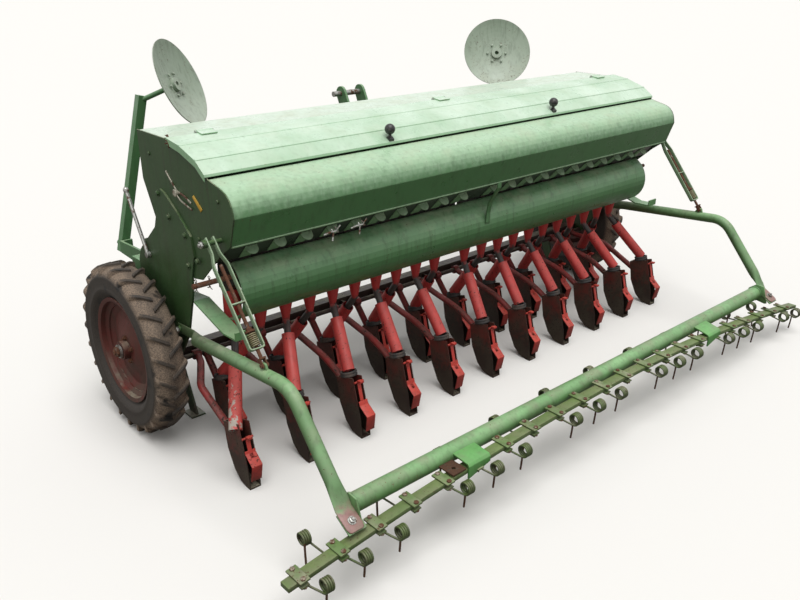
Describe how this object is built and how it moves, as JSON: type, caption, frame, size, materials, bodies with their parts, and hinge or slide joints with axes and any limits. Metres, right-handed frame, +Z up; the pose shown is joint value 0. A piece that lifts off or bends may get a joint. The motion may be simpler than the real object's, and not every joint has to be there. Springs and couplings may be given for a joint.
{
  "type": "mounted seed drill",
  "caption": "Tractor-mounted mechanical seed drill with a long green seed hopper, red hoe coulters on bent arms, two pneumatic tyres, folded marker discs and a following spring-tine harrow.",
  "frame": {"origin": "on the ground, in the middle of the machine's width and length", "axes": "+X towards the machine's right side, +Y forwards towards the tractor, +Z up"},
  "size_m": [3.072, 1.7968, 1.4183],
  "materials": {
    "green_paint": "worn gloss",
    "light_green_paint": "chalky",
    "olive_paint": "worn, rusting",
    "red_paint": "worn gloss",
    "rim_paint": "worn, muddy",
    "boot_iron": "rough, muddy",
    "dark_housing": "dusty",
    "ring_rubber": "dusty",
    "tyre_rubber": "dusty",
    "bare_steel": "dull",
    "rusty_steel": "rusty",
    "black_knob": "gloss"
  },
  "bodies": {
    "frame": {"hopper": "green_paint", "hopper_end_left": "green_paint", "hopper_end_right": "green_paint", "metering_housings": "dark_housing", "shutters": "light_green_paint", "flap_shaft": "rusty_steel", "seed_tray": "green_paint", "tray_bracket_left": "light_green_paint", "tray_bracket_right": "light_green_paint", "funnels": "red_paint", "seed_tubes": "red_paint", "tube_rings": "ring_rubber", "coulter_rail": "red_paint", "coulter_arms": "red_paint", "coulter_boots": "boot_iron", "boot_flaps": "red_paint", "side_plate_left": "green_paint", "side_plate_right": "green_paint", "axle_left": "bare_steel", "axle_right": "bare_steel", "front_beam": "green_paint", "headstock": "green_paint", "top_link_pin": "bare_steel", "hitch_left": "green_paint", "hitch_right": "green_paint", "depth_crank": "bare_steel", "setting_lever": "bare_steel"},
    "lid": {"lid": "green_paint", "lid_knobs": "black_knob"},
    "wheel_left": {"tyre_left": "tyre_rubber", "rim_left": "rim_paint"},
    "wheel_right": {"tyre_right": "tyre_rubber", "rim_right": "rim_paint"},
    "stand_left": {"stand_left": "rusty_steel"},
    "stand_right": {"stand_right": "rusty_steel"},
    "harrow": {"harrow_arm_left": "green_paint", "harrow_arm_right": "green_paint", "harrow_tube": "light_green_paint", "tine_bar": "olive_paint", "tines": "olive_paint"},
    "strut_left": {"strut_left": "light_green_paint"},
    "strut_right": {"strut_right": "light_green_paint"},
    "strut_rod_left": {"strut_rod_left": "rusty_steel"},
    "strut_rod_right": {"strut_rod_right": "rusty_steel"},
    "marker_arm_left": {"marker_arm_left": "green_paint"},
    "marker_arm_right": {"marker_arm_right": "green_paint"},
    "marker_disc_left": {"marker_disc_left": "light_green_paint"},
    "marker_disc_right": {"marker_disc_right": "light_green_paint"}
  },
  "joints": [
    {"name": "lid_hinge", "type": "hinge", "parent": "frame", "child": "lid", "pos_m": [0, 0.22539, 1.165], "axis": [-1, 0, 0], "range_deg": [0, 100]},
    {"name": "wheel_left_spin", "type": "hinge", "parent": "frame", "child": "wheel_left", "pos_m": [-1.35, 0.47539, 0.335], "axis": [1, 0, 0], "continuous": true},
    {"name": "stand_left_slide", "type": "slide", "parent": "frame", "child": "stand_left", "axis": [0, 0.3769, 0.9263], "range_m": [0, 0.25]},
    {"name": "marker_left_fold", "type": "hinge", "parent": "frame", "child": "marker_arm_left", "pos_m": [-1.18, 0.86039, 0.612], "axis": [0, -1, 0], "range_deg": [0, 148]},
    {"name": "marker_left_disc_spin", "type": "hinge", "parent": "marker_arm_left", "child": "marker_disc_left", "pos_m": [-0.94, 0.74739, 1.245], "axis": [0.597, -0.6965, 0.398], "continuous": true},
    {"name": "wheel_right_spin", "type": "hinge", "parent": "frame", "child": "wheel_right", "pos_m": [1.35, 0.47539, 0.335], "axis": [1, 0, 0], "continuous": true},
    {"name": "stand_right_slide", "type": "slide", "parent": "frame", "child": "stand_right", "axis": [0, 0.3769, 0.9263], "range_m": [0, 0.25]},
    {"name": "marker_right_fold", "type": "hinge", "parent": "frame", "child": "marker_arm_right", "pos_m": [1.18, 0.86039, 0.612], "axis": [0, 1, 0], "range_deg": [0, 148]},
    {"name": "marker_right_disc_spin", "type": "hinge", "parent": "marker_arm_right", "child": "marker_disc_right", "pos_m": [0.94, 0.74739, 1.245], "axis": [-0.597, -0.6965, 0.398], "continuous": true},
    {"name": "harrow_lift", "type": "hinge", "parent": "frame", "child": "harrow", "pos_m": [0, 0.22539, 0.475], "axis": [-1, 0, 0], "range_deg": [0, 3]},
    {"name": "strut_left_swing", "type": "hinge", "parent": "frame", "child": "strut_left", "pos_m": [-1.286, -0.08461, 0.885], "axis": [-1, 0, 0], "range_deg": [0, 2.26]},
    {"name": "strut_left_rod_slide", "type": "slide", "parent": "strut_left", "child": "strut_rod_left", "axis": [0, 0.639, 0.7692], "range_m": [0, 0.0268]},
    {"name": "strut_right_swing", "type": "hinge", "parent": "frame", "child": "strut_right", "pos_m": [1.286, -0.08461, 0.885], "axis": [-1, 0, 0], "range_deg": [0, 2.26]},
    {"name": "strut_right_rod_slide", "type": "slide", "parent": "strut_right", "child": "strut_rod_right", "axis": [0, 0.639, 0.7692], "range_m": [0, 0.0268]}
  ],
  "couplings": [
    {"joint": "strut_left_swing", "follows": "harrow_lift", "ratio": 0.7372},
    {"joint": "strut_left_rod_slide", "follows": "harrow_lift", "m_per_rad": 0.5026},
    {"joint": "strut_right_swing", "follows": "harrow_lift", "ratio": 0.7372},
    {"joint": "strut_right_rod_slide", "follows": "harrow_lift", "m_per_rad": 0.5026}
  ]
}
